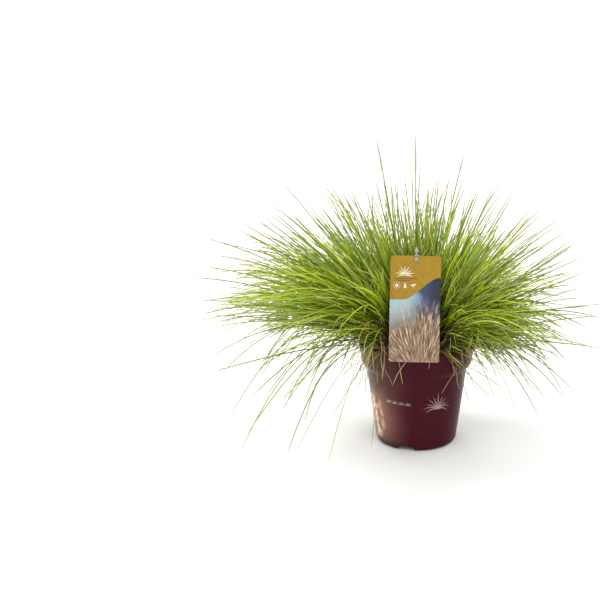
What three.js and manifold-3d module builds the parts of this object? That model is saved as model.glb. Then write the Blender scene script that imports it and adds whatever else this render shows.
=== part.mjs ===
// A golden-leaved fescue in a round nursery pot, with a picture label on a stake.
// Sizes are in millimetres. +Z is up, and -Y is the front, where the label hangs.
// The origin is on the pot's axis, at the level of the surface that the pot stands on.

import * as THREE from 'three';
import { mergeVertices } from 'three/addons/utils/BufferGeometryUtils.js';
import Module from 'manifold-3d';

const wasm = await Module();
wasm.setup();

// Pot: a straight collar, a rounded step under it, and a tapered body
const POT_SIDES = 40;
const POT_HEIGHT = 114;
const RIM_RADIUS = 65.2;
const COLLAR_FOOT_RADIUS = 62.5;
const COLLAR_FOOT_HEIGHT = 94.2;
const STEP_RADIUS = 56.3;
const STEP_HEIGHT = 84.5;
const BODY_FOOT_RADIUS = 46;
const FOOT_CORNER = 6;
const FOOT_RING_INNER = 35;
const FOOT_RING_OUTER = BODY_FOOT_RADIUS - FOOT_CORNER;
const WALL = 1.4;
const FLOOR_UNDERSIDE = 4.4;
const FLOOR_TOP = FLOOR_UNDERSIDE + WALL;
const FOOT_NOTCHES = 3;
const FOOT_NOTCH_AZIMUTH = -104.5;
const FOOT_NOTCH_WIDTH = 22;
const FOOT_NOTCH_TOP_WIDTH = 14.5;
const FOOT_NOTCH_HEIGHT = 6.5;
const DRAIN_HOLES = 6;
const DRAIN_HOLE_RADIUS = 3.5;
const DRAIN_CIRCLE_RADIUS = 23;

// Soil, with a plain hole for the crown and a slot for the stake
const FIT_GAP = 0.4;
const SOIL_LEVEL = 102.5;
const CROWN_HOLE_RADIUS = 42.6;
const CROWN_HOLE_FLOOR = 90;

// Crown: the heart in the middle, the skirt around it, and thatch next to the rim
const HEART_RADIUS = 24.6;
const HEART_TOP = 121;
const SKIRT_INNER = 25.1;
const SKIRT_OUTER = 42;
const SKIRT_TOP = 114.5;
const SKIRT_EDGE = 110;
const THATCH_INNER = 43.4;
const THATCH_OUTER = 58.5;
const THATCH_TOP = 108.5;
const CROWN_SIDES = 24;

// Blades: each is a slim three-sided spike on a curve from the crown to its tip
const HEART_BLADES = 158;
const SKIRT_BLADES = 306;
const DEAD_BLADES = 30;
const HEART_SPREAD = 50;
const SKIRT_SPREAD = 116;
const BLADE_RADIUS = 0.62;
const BLADE_SPACING = 0.7;
const BLADE_TRIES = 14;
const GOLDEN_ANGLE = 137.508;
const PLANT_SEED = 9338;
const SPREAD_CENTRE = new THREE.Vector3(0, 0, 106);
const UPRIGHT_REACH = { shortest: 118, longest: 196 };
const SPREADING_REACH = { shortest: 150, longest: 218 };
const SPREADING_TILT = 70;
const TRAILING_TILT = 80;
const TRAILING_LOSS = 0.9;
const REACH_SKEW = 0.75;
const LEFT_STRETCH = { shortest: 40, longest: 26 };
const RIGHT_LOSS = 12;
const FURTHEST_TIP = { x: 229, y: 212 };
const UNEVEN_TILT = 35;
const TIP_TURN = 26;
const TIP_SWAY = 6;
const ROOT_TURN = 10;
const ROOT_DEPTH = 2.5;
const HEART_ROOT_RADIUS = 21.5;
const SKIRT_ROOT_RADIUS = { inner: 28, outer: 39.5 };
const LIFT_UPRIGHT = 0.03;
const LIFT_SPREADING = 0.11;
const LIFT_GROWTH = 2.4;
const LOWEST_TIP = 12;
const POT_CLEARANCE = 1.2;
const STAKE_CLEARANCE = 1.6;

// Dry blades: how far out and how high their tips hang, and how much they arch
const DEAD_ROOT_RADIUS = 50;
const DEAD_TIP_RADIUS = { nearest: 72, furthest: 104 };
const DEAD_TIP_HEIGHT = { lowest: 66, highest: 118 };
const DEAD_LIFT = { least: 16, most: 30 };
const DEAD_TURN = 63;

// Blades that stand out from the rest: tip x, y, z, and how far the middle rises above a straight line
const STANDOUT_BLADES = [
  [-45, 10, 335, 4],
  [-3, -10, 339, 3],
  [50, 20, 318, 6],
  [20, -40, 300, 5],
  [-24, -60, 296, 6],
  [-160, 30, 296, 8],
  [80, -20, 282, 6],
  [70, 60, 281, 8],
  [-90, 60, 280, 6],
  [-100, -60, 270, 8],
  [-174, -20, 252, 9],
  [-214, 60, 230, 14],
  [130, -40, 268, 9],
  [160, 20, 245, 12],
  [159, -60, 231, 10],
  [191, 70, 184, 14],
  [230, 115, 94, 34],
  [-230, -70, 148, 22],
  [-229, -40, 98, 32],
  [157, -60, 64, 30],
  [178, 20, 34, 48],
  [125, -90, 55, 36],
  [-214, -22, 20, 62],
  [-180, -112, 15, 62],
  [-132, -104, 14, 54],
  [-140, -213, 114, 32],
  [60, 213, 150, 24],
  [-70, 205, 60, 48],
];

// Label: a stiff printed card that hangs from a stud at the head of a plastic stake
const LABEL_WIDTH = 52;
const LABEL_HEIGHT = 109.5;
const LABEL_THICKNESS = 0.6;
const LABEL_CORNER = 2.2;
const LABEL_HOLE_RADIUS = 2.6;
const LABEL_HOLE_DROP = 4.2;
const LABEL_HOLE_OFFSET = 0.9;
const LABEL_LEAN = 10;
const LABEL_TURN = -0.7;
const STUD = new THREE.Vector3(-0.6, -48.9, 211.4);
const STUD_RADIUS = 1.5;
const STUD_HEAD_RADIUS = 2.7;
const STUD_COLLAR_RADIUS = 2.9;
const STUD_GRIP = 1.1;
const STAKE_WIDTH = 6;
const STAKE_THICKNESS = 2.2;
const STAKE_POINT_HEIGHT = 62;
const STAKE_SHOULDER_HEIGHT = 76;
const STAKE_TOP = 216.5;
const KNOB_RADIUS = 2.3;
const KNOB_TOP = 224.3;
const STAKE_BACK = 1.2;

// Space that the foliage leaves free around the label, so that it can be read
const LABEL_VIEW_WIDTH = 58;
const LABEL_VIEW_LOW = 98;
const LABEL_VIEW_HIGH = 236;
const LABEL_VIEW_BACK = -44;

const toRadians = THREE.MathUtils.degToRad;
const lerp = THREE.MathUtils.lerp;

// The same seed gives the same plant each time
function seededRandom(seed) {
  let state = seed;
  return () => {
    state = (state + 0x6d2b79f5) | 0;
    let t = Math.imul(state ^ (state >>> 15), 1 | state);
    t = (t + Math.imul(t ^ (t >>> 7), 61 | t)) ^ t;
    return ((t ^ (t >>> 14)) >>> 0) / 4294967296;
  };
}

function solidOf(geometry) {
  const bare = geometry.clone();
  bare.deleteAttribute('normal');
  bare.deleteAttribute('uv');
  const merged = mergeVertices(bare, 1e-4);
  return new wasm.Manifold(new wasm.Mesh({
    numProp: 3,
    vertProperties: new Float32Array(merged.attributes.position.array),
    triVerts: new Uint32Array(merged.index.array),
  }));
}

function geometryOf(solid) {
  const mesh = solid.getMesh();
  const geometry = new THREE.BufferGeometry();
  geometry.setAttribute('position', new THREE.BufferAttribute(mesh.vertProperties, 3));
  geometry.setIndex(new THREE.BufferAttribute(mesh.triVerts, 1));
  return geometry;
}

// A turned shape from its [radius, height] outline, standing along +Z
function turned(outline, sides) {
  const points = outline.map(([radius, height]) => new THREE.Vector2(radius, height));
  return new THREE.LatheGeometry(points, sides).rotateX(Math.PI / 2);
}

function arcPoints(centreRadius, centreHeight, radius, from, to, steps) {
  const points = [];
  for (let i = 0; i <= steps; i += 1) {
    const angle = toRadians(lerp(from, to, i / steps));
    points.push([centreRadius + radius * Math.cos(angle), centreHeight + radius * Math.sin(angle)]);
  }
  return points;
}

function makeMesh(name, geometry, color, roughness) {
  const material = new THREE.MeshStandardMaterial({ color, roughness, metalness: 0 });
  const mesh = new THREE.Mesh(geometry, material);
  mesh.name = name;
  return mesh;
}

// Pot
const bodyOutline = [
  [FOOT_RING_INNER, 0],
  ...arcPoints(FOOT_RING_OUTER, FOOT_CORNER, FOOT_CORNER, -90, -5, 5),
  [STEP_RADIUS, STEP_HEIGHT],
  [STEP_RADIUS + 1.6, STEP_HEIGHT + 2],
  [COLLAR_FOOT_RADIUS - 0.9, COLLAR_FOOT_HEIGHT - 2.6],
  [COLLAR_FOOT_RADIUS, COLLAR_FOOT_HEIGHT],
  [RIM_RADIUS - 0.3, POT_HEIGHT - 1],
  [RIM_RADIUS - 0.9, POT_HEIGHT],
];

function innerPotOutline(inset) {
  return [
    [RIM_RADIUS - inset - 0.6, POT_HEIGHT],
    [COLLAR_FOOT_RADIUS - inset, COLLAR_FOOT_HEIGHT + 0.5],
    [STEP_RADIUS - inset, STEP_HEIGHT + 0.5],
    [BODY_FOOT_RADIUS - inset, FOOT_CORNER + 2],
    [FOOT_RING_OUTER + 2, FLOOR_TOP],
  ];
}

function footNotch(azimuth) {
  const shape = new THREE.Shape([
    new THREE.Vector2(-FOOT_NOTCH_WIDTH / 2, -1),
    new THREE.Vector2(FOOT_NOTCH_WIDTH / 2, -1),
    new THREE.Vector2(FOOT_NOTCH_TOP_WIDTH / 2, FOOT_NOTCH_HEIGHT),
    new THREE.Vector2(-FOOT_NOTCH_TOP_WIDTH / 2, FOOT_NOTCH_HEIGHT),
  ]);
  const reach = 20;
  const cutter = new THREE.ExtrudeGeometry(shape, { depth: reach, bevelEnabled: false });
  cutter.rotateX(Math.PI / 2);
  cutter.translate(0, -(FOOT_RING_INNER - 3), 0);
  cutter.rotateZ(toRadians(azimuth + 90));
  return solidOf(cutter);
}

function pot() {
  const outline = [
    [0, FLOOR_UNDERSIDE],
    [FOOT_RING_INNER - 1.5, FLOOR_UNDERSIDE],
    ...bodyOutline,
    ...innerPotOutline(WALL),
    [0, FLOOR_TOP],
  ];
  let solid = solidOf(turned(outline, POT_SIDES));
  for (let i = 0; i < FOOT_NOTCHES; i += 1) {
    solid = solid.subtract(footNotch(FOOT_NOTCH_AZIMUTH + (360 / FOOT_NOTCHES) * i));
  }
  for (let i = 0; i < DRAIN_HOLES; i += 1) {
    const azimuth = (i / DRAIN_HOLES) * 2 * Math.PI;
    const drill = new THREE.CylinderGeometry(DRAIN_HOLE_RADIUS, DRAIN_HOLE_RADIUS, 6, 12);
    drill.rotateX(Math.PI / 2);
    drill.translate(
      DRAIN_CIRCLE_RADIUS * Math.cos(azimuth),
      DRAIN_CIRCLE_RADIUS * Math.sin(azimuth),
      FLOOR_UNDERSIDE + WALL / 2,
    );
    solid = solid.subtract(solidOf(drill));
  }
  return makeMesh('pot', geometryOf(solid), 0x4a1c27, 0.42);
}

// Soil
function stakeSlot() {
  const slot = new THREE.BoxGeometry(
    STAKE_WIDTH + 2 * FIT_GAP,
    STAKE_THICKNESS + 2 * FIT_GAP,
    2 * (SOIL_LEVEL - STAKE_POINT_HEIGHT + 4),
  );
  slot.translate(STUD.x, STUD.y + STAKE_BACK + STAKE_THICKNESS / 2, SOIL_LEVEL);
  return solidOf(slot);
}

function soil() {
  const inset = WALL + FIT_GAP;
  const outline = [
    [0, FLOOR_TOP + FIT_GAP],
    [FOOT_RING_OUTER + 2, FLOOR_TOP + FIT_GAP],
    [BODY_FOOT_RADIUS - inset, FOOT_CORNER + 2],
    [STEP_RADIUS - inset, STEP_HEIGHT + 0.5],
    [COLLAR_FOOT_RADIUS - inset, COLLAR_FOOT_HEIGHT + 0.5],
    [COLLAR_FOOT_RADIUS - inset + 0.5, SOIL_LEVEL - 0.8],
    [THATCH_OUTER, SOIL_LEVEL],
    [CROWN_HOLE_RADIUS, SOIL_LEVEL],
    [CROWN_HOLE_RADIUS, CROWN_HOLE_FLOOR],
    [0, CROWN_HOLE_FLOOR],
  ];
  const solid = solidOf(turned(outline, POT_SIDES)).subtract(stakeSlot());
  return makeMesh('potting_soil', geometryOf(solid), 0x2b1d15, 0.95);
}

// A blade's curve rises evenly between its root and its tip, as an arch of the given lift
function bladeCurve(root, tip, lift) {
  const middle = root.clone().add(tip).multiplyScalar(0.5);
  middle.z += 2 * lift;
  return new THREE.QuadraticBezierCurve3(root, middle, tip);
}

// Three-sided spike along a curve, full in its lower part and drawn out to a point
function bladeSolid(curve, spans, radius) {
  const positions = [];
  const indices = [];
  const side = new THREE.Vector3();
  const keel = new THREE.Vector3();
  for (let ring = 0; ring < spans; ring += 1) {
    const along = ring / spans;
    const centre = curve.getPoint(along);
    const tangent = curve.getTangent(along);
    const width = radius * Math.min(1, 1.5 * (1 - along) + 0.12);
    side.set(-tangent.y, tangent.x, 0.001).normalize();
    keel.crossVectors(tangent, side).normalize();
    for (let corner = 0; corner < 3; corner += 1) {
      const angle = (corner / 3) * 2 * Math.PI + Math.PI / 6;
      const point = centre.clone();
      point.addScaledVector(side, width * Math.cos(angle));
      point.addScaledVector(keel, width * Math.sin(angle));
      positions.push(point.x, point.y, point.z);
    }
  }
  const tip = curve.getPoint(1);
  positions.push(tip.x, tip.y, tip.z);
  for (let ring = 0; ring < spans - 1; ring += 1) {
    for (let corner = 0; corner < 3; corner += 1) {
      const a = ring * 3 + corner;
      const b = ring * 3 + ((corner + 1) % 3);
      indices.push(a, b, b + 3, a, b + 3, a + 3);
    }
  }
  const last = (spans - 1) * 3;
  indices.push(last, last + 1, last + 3, last + 1, last + 2, last + 3, last + 2, last, last + 3);
  indices.push(0, 2, 1);
  return new wasm.Manifold(new wasm.Mesh({
    numProp: 3,
    vertProperties: new Float32Array(positions),
    triVerts: new Uint32Array(indices),
  }));
}

// Outer surface of the pot's wall at a height, for blades that pass close to it
function potRadiusAt(height) {
  if (height > COLLAR_FOOT_HEIGHT) return RIM_RADIUS;
  if (height > STEP_HEIGHT) return COLLAR_FOOT_RADIUS;
  return STEP_RADIUS;
}

// The crown's rounded top, from the middle out to the skirt's edge
function crownHeight(radius) {
  if (radius < HEART_RADIUS) return lerp(HEART_TOP, SKIRT_TOP, (radius / HEART_RADIUS) ** 2);
  const outward = (radius - HEART_RADIUS) / (SKIRT_OUTER - HEART_RADIUS);
  return lerp(SKIRT_TOP, SKIRT_EDGE, outward ** 2);
}

// Keeps blades out of the pot's rim, the label, its stake and each other
const placedSpans = [];

function isBlocked(point) {
  const radius = Math.hypot(point.x, point.y);
  if (point.z < LOWEST_TIP) return true;
  const overRim = radius > THATCH_OUTER - 1 && radius < potRadiusAt(point.z) + POT_CLEARANCE;
  if (overRim && point.z < POT_HEIGHT + POT_CLEARANCE) return true;
  const overThatch = radius > SKIRT_OUTER && radius < RIM_RADIUS;
  if (overThatch && point.z < THATCH_TOP + POT_CLEARANCE) return true;
  const stakeMiddle = STUD.y + STAKE_BACK + STAKE_THICKNESS / 2;
  const stakeDistance = Math.hypot(point.x - STUD.x, point.y - stakeMiddle);
  if (point.z < KNOB_TOP + STAKE_CLEARANCE && stakeDistance < STAKE_WIDTH / 2 + STAKE_CLEARANCE) return true;
  const beforeLabel = point.y < LABEL_VIEW_BACK && Math.abs(point.x) < LABEL_VIEW_WIDTH / 2;
  return beforeLabel && point.z > LABEL_VIEW_LOW && point.z < LABEL_VIEW_HIGH;
}

function spanDistance(p1, q1, p2, q2) {
  const d1 = q1.clone().sub(p1);
  const d2 = q2.clone().sub(p2);
  const r = p1.clone().sub(p2);
  const a = d1.dot(d1);
  const e = d2.dot(d2);
  const b = d1.dot(d2);
  const c = d1.dot(r);
  const f = d2.dot(r);
  const denominator = a * e - b * b;
  const clamp = THREE.MathUtils.clamp;
  let s = denominator > 1e-9 ? clamp((b * f - c * e) / denominator, 0, 1) : 0;
  let t = (b * s + f) / e;
  if (t < 0 || t > 1) {
    t = clamp(t, 0, 1);
    s = clamp((b * t - c) / a, 0, 1);
  }
  return p1.addScaledVector(d1, s).distanceTo(p2.addScaledVector(d2, t));
}

function spansOf(curve, spans) {
  const points = curve.getPoints(spans);
  return points.slice(1).map((point, i) => ({
    from: points[i],
    to: point,
    centre: point.clone().add(points[i]).multiplyScalar(0.5),
    reach: point.distanceTo(points[i]) / 2,
  }));
}

// Points along the straight spans, without those inside the crown
function samplesOf(curve, spans, fromRadius) {
  const steps = 12;
  const samples = [];
  for (const { from, to } of spansOf(curve, spans)) {
    for (let i = 1; i <= steps; i += 1) samples.push(from.clone().lerp(to, i / steps));
  }
  return samples.filter((point) => Math.hypot(point.x, point.y) > fromRadius || point.z > HEART_TOP);
}

function isClearOfBlades(curve, spans) {
  const clearance = 2 * BLADE_RADIUS + BLADE_SPACING;
  return spansOf(curve, spans).every((own) => placedSpans.every((other) => {
    const far = own.reach + other.reach + clearance;
    if (own.centre.distanceToSquared(other.centre) > far * far) return true;
    return spanDistance(own.from.clone(), own.to.clone(), other.from.clone(), other.to.clone()) > clearance;
  }));
}

function isClear(curve, spans, fromRadius) {
  return !samplesOf(curve, spans, fromRadius).some(isBlocked) && isClearOfBlades(curve, spans);
}

function placeBlade(list, curve, spans, fromRadius = SKIRT_OUTER) {
  if (!isClear(curve, spans, fromRadius)) return false;
  placedSpans.push(...spansOf(curve, spans));
  list.push(bladeSolid(curve, spans, BLADE_RADIUS));
  return true;
}

function rootAt(azimuth, radius) {
  const x = radius * Math.cos(azimuth);
  const y = radius * Math.sin(azimuth);
  return new THREE.Vector3(x, y, crownHeight(radius) - ROOT_DEPTH);
}

function rootRadius(tilt) {
  if (tilt < HEART_SPREAD) return HEART_ROOT_RADIUS * (tilt / HEART_SPREAD) ** 0.8;
  const outward = (tilt - HEART_SPREAD) / (SKIRT_SPREAD - HEART_SPREAD);
  return lerp(SKIRT_ROOT_RADIUS.inner, SKIRT_ROOT_RADIUS.outer, outward);
}

// Blades reach furthest where they spread sideways, above all to the left, and least where they trail
function drawReach(tilt, azimuth, random) {
  const spreading = Math.min(1, tilt / SPREADING_TILT);
  const sideways = THREE.MathUtils.clamp((tilt - UNEVEN_TILT) / UNEVEN_TILT, 0, 1);
  const toRight = sideways * Math.cos(toRadians(azimuth));
  const toLeft = Math.max(0, -toRight);
  let shortest = lerp(UPRIGHT_REACH.shortest, SPREADING_REACH.shortest, spreading);
  let longest = lerp(UPRIGHT_REACH.longest, SPREADING_REACH.longest, spreading);
  shortest += LEFT_STRETCH.shortest * toLeft;
  longest += LEFT_STRETCH.longest * toLeft;
  longest -= RIGHT_LOSS * Math.max(0, toRight) + TRAILING_LOSS * Math.max(0, tilt - TRAILING_TILT);
  return lerp(shortest, longest, random() ** REACH_SKEW);
}

// One blade by its direction: tilt from upright and azimuth, in degrees
function drawBlade(tilt, azimuth, random) {
  const reach = drawReach(tilt, azimuth, random);
  const tipAzimuth = toRadians(azimuth + (random() - 0.5) * TIP_TURN);
  const lean = toRadians(tilt + (random() - 0.5) * TIP_SWAY);
  const tip = new THREE.Vector3(
    Math.sin(lean) * Math.cos(tipAzimuth),
    Math.sin(lean) * Math.sin(tipAzimuth),
    Math.cos(lean),
  ).multiplyScalar(reach).add(SPREAD_CENTRE);
  tip.x = THREE.MathUtils.clamp(tip.x, -FURTHEST_TIP.x, FURTHEST_TIP.x);
  tip.y = THREE.MathUtils.clamp(tip.y, -FURTHEST_TIP.y, FURTHEST_TIP.y);
  const root = rootAt(toRadians(azimuth), rootRadius(tilt));
  const arch = LIFT_SPREADING * (tilt / 90) ** LIFT_GROWTH * (0.5 + random());
  return bladeCurve(root, tip, reach * (LIFT_UPRIGHT + arch));
}

function spansFor(tilt) {
  if (tilt < 38) return 3;
  return tilt < 88 ? 4 : 5;
}

function growBlades(list, count, tiltFrom, tiltTo, random) {
  for (let i = 0; i < count; i += 1) {
    const cosine = lerp(Math.cos(toRadians(tiltFrom)), Math.cos(toRadians(tiltTo)), (i + 0.5) / count);
    const tilt = THREE.MathUtils.radToDeg(Math.acos(cosine));
    for (let attempt = 0; attempt < BLADE_TRIES; attempt += 1) {
      const azimuth = i * GOLDEN_ANGLE + (random() - 0.5) * ROOT_TURN;
      if (placeBlade(list, drawBlade(tilt, azimuth, random), spansFor(tilt))) break;
    }
  }
}

const heartBlades = [];
const skirtBlades = [];

function growStandoutBlades() {
  for (const [x, y, z, lift] of STANDOUT_BLADES) {
    const tip = new THREE.Vector3(x, y, z);
    const direction = tip.clone().sub(SPREAD_CENTRE);
    const tilt = THREE.MathUtils.radToDeg(direction.angleTo(new THREE.Vector3(0, 0, 1)));
    const list = tilt < HEART_SPREAD ? heartBlades : skirtBlades;
    const root = rootAt(Math.atan2(y, x), rootRadius(tilt));
    placeBlade(list, bladeCurve(root, tip, lift), 5);
  }
}

const random = seededRandom(PLANT_SEED);
growStandoutBlades();
growBlades(heartBlades, HEART_BLADES, 0, HEART_SPREAD, random);
growBlades(skirtBlades, SKIRT_BLADES, HEART_SPREAD, SKIRT_SPREAD, random);

// The crown's middle and the ring around it, each with its blades grown into it
function grassHeart() {
  const outline = [
    [0, CROWN_HOLE_FLOOR + FIT_GAP],
    [HEART_RADIUS, CROWN_HOLE_FLOOR + FIT_GAP],
    [HEART_RADIUS, crownHeight(HEART_RADIUS)],
    [HEART_RADIUS * 0.6, crownHeight(HEART_RADIUS * 0.6)],
    [0, HEART_TOP],
  ];
  const solid = wasm.Manifold.union([solidOf(turned(outline, CROWN_SIDES)), ...heartBlades]);
  return makeMesh('grass_heart', geometryOf(solid), 0x93ad35, 0.6);
}

function grassSkirt() {
  const outline = [
    [SKIRT_INNER, CROWN_HOLE_FLOOR + FIT_GAP],
    [SKIRT_OUTER, CROWN_HOLE_FLOOR + FIT_GAP],
    [SKIRT_OUTER, crownHeight(SKIRT_OUTER)],
    [(SKIRT_OUTER + SKIRT_INNER) / 2, crownHeight((SKIRT_OUTER + SKIRT_INNER) / 2)],
    [SKIRT_INNER, crownHeight(SKIRT_INNER)],
    [SKIRT_INNER, CROWN_HOLE_FLOOR + FIT_GAP],
  ];
  const solid = wasm.Manifold.union([solidOf(turned(outline, CROWN_SIDES)), ...skirtBlades]);
  return makeMesh('grass_skirt', geometryOf(solid), 0x86a02e, 0.6);
}

// Thatch: old leaf bases packed next to the rim, with dry blades that hang over it
function drawDeadBlade(azimuth, random) {
  const tipAzimuth = toRadians(azimuth + (random() - 0.5) * DEAD_TURN);
  const out = lerp(DEAD_TIP_RADIUS.nearest, DEAD_TIP_RADIUS.furthest, random());
  const height = lerp(DEAD_TIP_HEIGHT.lowest, DEAD_TIP_HEIGHT.highest, random());
  const tip = new THREE.Vector3(out * Math.cos(tipAzimuth), out * Math.sin(tipAzimuth), height);
  const root = new THREE.Vector3(
    DEAD_ROOT_RADIUS * Math.cos(toRadians(azimuth)),
    DEAD_ROOT_RADIUS * Math.sin(toRadians(azimuth)),
    THATCH_TOP - ROOT_DEPTH,
  );
  return bladeCurve(root, tip, lerp(DEAD_LIFT.least, DEAD_LIFT.most, random()));
}

function growDeadBlades() {
  const blades = [];
  for (let i = 0; i < DEAD_BLADES; i += 1) {
    for (let attempt = 0; attempt < BLADE_TRIES; attempt += 1) {
      const azimuth = i * GOLDEN_ANGLE + (random() - 0.5) * ROOT_TURN;
      if (placeBlade(blades, drawDeadBlade(azimuth, random), 5, THATCH_OUTER)) break;
    }
  }
  return blades;
}

function thatch() {
  const base = SOIL_LEVEL + FIT_GAP;
  const outline = [
    [THATCH_INNER, base],
    [THATCH_OUTER, base],
    [THATCH_OUTER - 1.5, base + 2.5],
    [THATCH_OUTER - 7, THATCH_TOP],
    [THATCH_INNER, THATCH_TOP - 1],
    [THATCH_INNER, base],
  ];
  const ring = solidOf(turned(outline, CROWN_SIDES)).subtract(stakeSlot());
  const solid = wasm.Manifold.union([ring, ...growDeadBlades()]);
  return makeMesh('thatch', geometryOf(solid), 0x9a7f55, 0.85);
}

// Label card, hung by its hole and leaning on the rim
function labelCard() {
  const shape = new THREE.Shape();
  const w = LABEL_WIDTH / 2;
  const top = LABEL_HOLE_DROP;
  const bottom = LABEL_HOLE_DROP - LABEL_HEIGHT;
  const r = LABEL_CORNER;
  shape.moveTo(-w + r, bottom);
  shape.lineTo(w - r, bottom);
  shape.absarc(w - r, bottom + r, r, -Math.PI / 2, 0);
  shape.lineTo(w, top - r);
  shape.absarc(w - r, top - r, r, 0, Math.PI / 2);
  shape.lineTo(-w + r, top);
  shape.absarc(-w + r, top - r, r, Math.PI / 2, Math.PI);
  shape.lineTo(-w, bottom + r);
  shape.absarc(-w + r, bottom + r, r, Math.PI, 1.5 * Math.PI);
  const hole = new THREE.Path();
  hole.absarc(LABEL_HOLE_OFFSET, 0, LABEL_HOLE_RADIUS, 0, 2 * Math.PI);
  shape.holes.push(hole);
  const geometry = new THREE.ExtrudeGeometry(shape, {
    depth: LABEL_THICKNESS,
    bevelEnabled: false,
    curveSegments: 5,
  });
  geometry.translate(-LABEL_HOLE_OFFSET, 0, -LABEL_THICKNESS / 2);
  const card = makeMesh('label_card', geometry, 0xc9a24a, 0.35);
  card.rotation.z = toRadians(LABEL_TURN);
  const hanger = new THREE.Group();
  hanger.position.copy(STUD);
  hanger.rotation.x = toRadians(90 - LABEL_LEAN);
  hanger.add(card);
  return hanger;
}

// Stake: a flat spike with a knob at its head, and a stud with a button head for the card
function labelStake() {
  const w = STAKE_WIDTH / 2;
  const spike = new THREE.ExtrudeGeometry(new THREE.Shape([
    new THREE.Vector2(0, STAKE_POINT_HEIGHT),
    new THREE.Vector2(w * 0.7, STAKE_SHOULDER_HEIGHT),
    new THREE.Vector2(w * 0.8, STUD.z - 12),
    new THREE.Vector2(w, STUD.z - 4),
    new THREE.Vector2(w, STAKE_TOP - 1),
    new THREE.Vector2(w - 1, STAKE_TOP),
    new THREE.Vector2(-w + 1, STAKE_TOP),
    new THREE.Vector2(-w, STAKE_TOP - 1),
    new THREE.Vector2(-w, STUD.z - 4),
    new THREE.Vector2(-w * 0.8, STUD.z - 12),
    new THREE.Vector2(-w * 0.7, STAKE_SHOULDER_HEIGHT),
  ]), { depth: STAKE_THICKNESS, bevelEnabled: false });
  spike.rotateX(Math.PI / 2);
  spike.translate(STUD.x, STUD.y + STAKE_BACK + STAKE_THICKNESS, 0);

  const stud = turned([
    [0, -STAKE_BACK - 1],
    [STUD_COLLAR_RADIUS, -STAKE_BACK - 1],
    [STUD_COLLAR_RADIUS, -STUD_GRIP],
    [STUD_RADIUS, -STUD_GRIP],
    [STUD_RADIUS, STUD_GRIP],
    [STUD_HEAD_RADIUS, STUD_GRIP],
    [STUD_HEAD_RADIUS - 0.2, STUD_GRIP + 0.9],
    [STUD_HEAD_RADIUS * 0.6, STUD_GRIP + 1.8],
    [0, STUD_GRIP + 2.1],
  ], 16);
  stud.rotateX(Math.PI / 2);
  stud.translate(STUD.x, STUD.y, STUD.z);

  const knob = turned([
    [0, STAKE_TOP - 2],
    [1, STAKE_TOP - 2],
    [1, STAKE_TOP + 2.6],
    [KNOB_RADIUS, STAKE_TOP + 3],
    [KNOB_RADIUS * 0.5, KNOB_TOP - 1.6],
    [0, KNOB_TOP],
  ], 12);
  knob.translate(STUD.x, STUD.y + STAKE_BACK + STAKE_THICKNESS / 2, 0);

  const solid = wasm.Manifold.union([solidOf(spike), solidOf(stud), solidOf(knob)]);
  return makeMesh('label_stake', geometryOf(solid), 0xe4e4df, 0.4);
}

const plant = new THREE.Group();
plant.add(pot(), soil(), grassHeart(), grassSkirt(), thatch(), labelCard(), labelStake());

export default plant;
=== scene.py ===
"""A golden-leaved fescue in a dark red nursery pot, with a hanging label card.

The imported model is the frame. Sizes are in millimetres, and MM turns them into metres. Materials, lights
and the bounds are in metres.
"""

from math import cos, pi, radians, sin, sqrt

import bpy
import numpy as np
from mathutils import Matrix, Vector


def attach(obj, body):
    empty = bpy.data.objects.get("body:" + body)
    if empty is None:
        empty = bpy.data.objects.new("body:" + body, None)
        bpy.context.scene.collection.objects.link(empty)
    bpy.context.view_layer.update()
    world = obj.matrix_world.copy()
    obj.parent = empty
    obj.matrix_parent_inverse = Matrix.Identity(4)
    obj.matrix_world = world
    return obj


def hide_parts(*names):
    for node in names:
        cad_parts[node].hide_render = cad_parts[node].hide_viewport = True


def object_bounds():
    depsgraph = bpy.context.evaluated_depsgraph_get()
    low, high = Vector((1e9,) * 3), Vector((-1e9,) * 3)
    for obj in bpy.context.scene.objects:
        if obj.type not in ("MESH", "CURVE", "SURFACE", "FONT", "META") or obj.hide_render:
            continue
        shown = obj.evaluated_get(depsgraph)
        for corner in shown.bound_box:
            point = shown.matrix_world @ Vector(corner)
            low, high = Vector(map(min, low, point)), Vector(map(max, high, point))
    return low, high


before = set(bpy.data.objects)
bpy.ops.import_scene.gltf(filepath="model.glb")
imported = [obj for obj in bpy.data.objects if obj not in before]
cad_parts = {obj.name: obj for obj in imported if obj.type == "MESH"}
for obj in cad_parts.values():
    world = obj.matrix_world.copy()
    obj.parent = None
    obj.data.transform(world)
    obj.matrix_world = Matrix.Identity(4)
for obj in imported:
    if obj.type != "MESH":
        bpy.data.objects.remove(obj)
cad_low, cad_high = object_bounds()
scene = bpy.context.scene

MM = 0.001
BODY = "root"
BOX_LOW = np.array(cad_low) / MM
BOX_HIGH = np.array(cad_high) / MM
SMOOTH_ANGLE = 35

# Pot, as in the frame
POT_SIDES = 144
POT_HEIGHT = 114
RIM_RADIUS = 65.2
COLLAR_RADIUS = 62.5
COLLAR_HEIGHT = 94.2
STEP_RADIUS = 56.3
STEP_HEIGHT = 84.5
FOOT_RADIUS = 46
FOOT_CORNER = 6
FOOT_RING_INNER = 35
FOOT_RING_OUTER = FOOT_RADIUS - FOOT_CORNER
WALL = 1.4
FLOOR_BOTTOM = 4.4
FLOOR_TOP = FLOOR_BOTTOM + WALL
NOTCHES = 3
NOTCH_AZIMUTH = -104.5
NOTCH_WIDTH = 22
NOTCH_TOP_WIDTH = 14.5
NOTCH_HEIGHT = 6.5
NOTCH_DEPTH = 20
DRAIN_HOLES = 6
DRAIN_RADIUS = 3.5
DRAIN_CIRCLE = 23
DRILL_REACH = 3

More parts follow.
